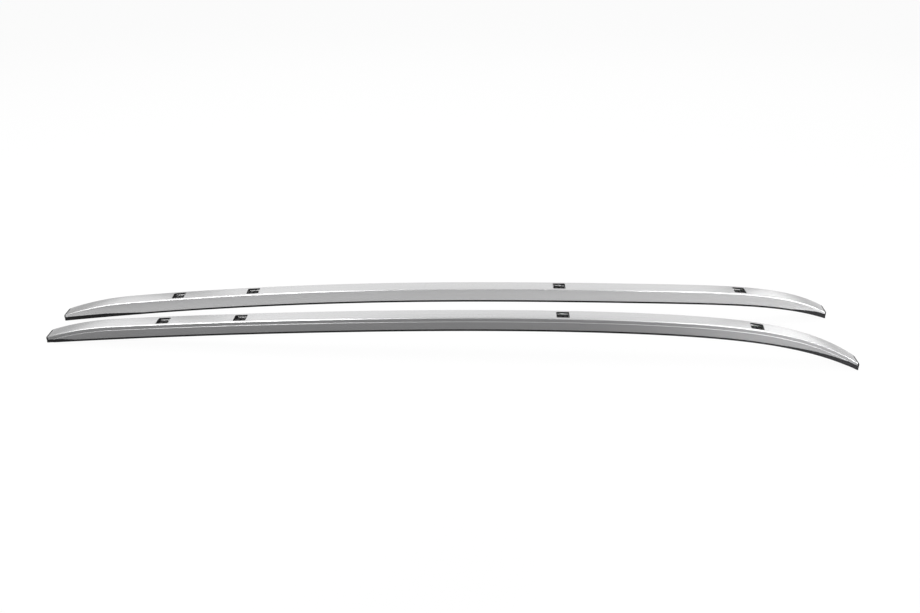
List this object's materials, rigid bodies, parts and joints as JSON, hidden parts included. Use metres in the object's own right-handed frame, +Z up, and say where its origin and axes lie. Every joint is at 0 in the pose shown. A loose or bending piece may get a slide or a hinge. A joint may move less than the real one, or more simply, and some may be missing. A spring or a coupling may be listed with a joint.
{
  "type": "roof side rail pair",
  "caption": "Pair of flush roof side rails: bent aluminium extrusions on rubber gaskets, with moulded tip pads and bolt pockets in the top.",
  "frame": {"origin": "centre of the bounding box's base: half way along the rails, in the mirror plane between them, at the level of the tips' feet", "axes": "+X along the rails from the rear tips to the front tips, +Y from the left rail to the right rail, +Z up"},
  "size_m": [1.9, 0.286, 0.096],
  "materials": {
    "aluminium": "satin anodised",
    "rubber": "matt black, moulded",
    "plastic": "fine grain",
    "steel": "black coated steel"
  },
  "bodies": {
    "root": {"left_bar": "aluminium", "left_gasket": "rubber", "left_rear_pad": "rubber", "left_front_pad": "rubber", "left_rim_1": "plastic", "left_seat_1": "plastic", "left_sleeve_1": "steel", "left_rim_2": "plastic", "left_seat_2": "plastic", "left_sleeve_2": "steel", "left_rim_3": "plastic", "left_seat_3": "plastic", "left_sleeve_3": "steel", "left_rim_4": "plastic", "left_seat_4": "plastic", "left_sleeve_4": "steel", "right_bar": "aluminium", "right_gasket": "rubber", "right_rear_pad": "rubber", "right_front_pad": "rubber", "right_rim_1": "plastic", "right_seat_1": "plastic", "right_sleeve_1": "steel", "right_rim_2": "plastic", "right_seat_2": "plastic", "right_sleeve_2": "steel", "right_rim_3": "plastic", "right_seat_3": "plastic", "right_sleeve_3": "steel", "right_rim_4": "plastic", "right_seat_4": "plastic", "right_sleeve_4": "steel"}
  },
  "joints": []
}
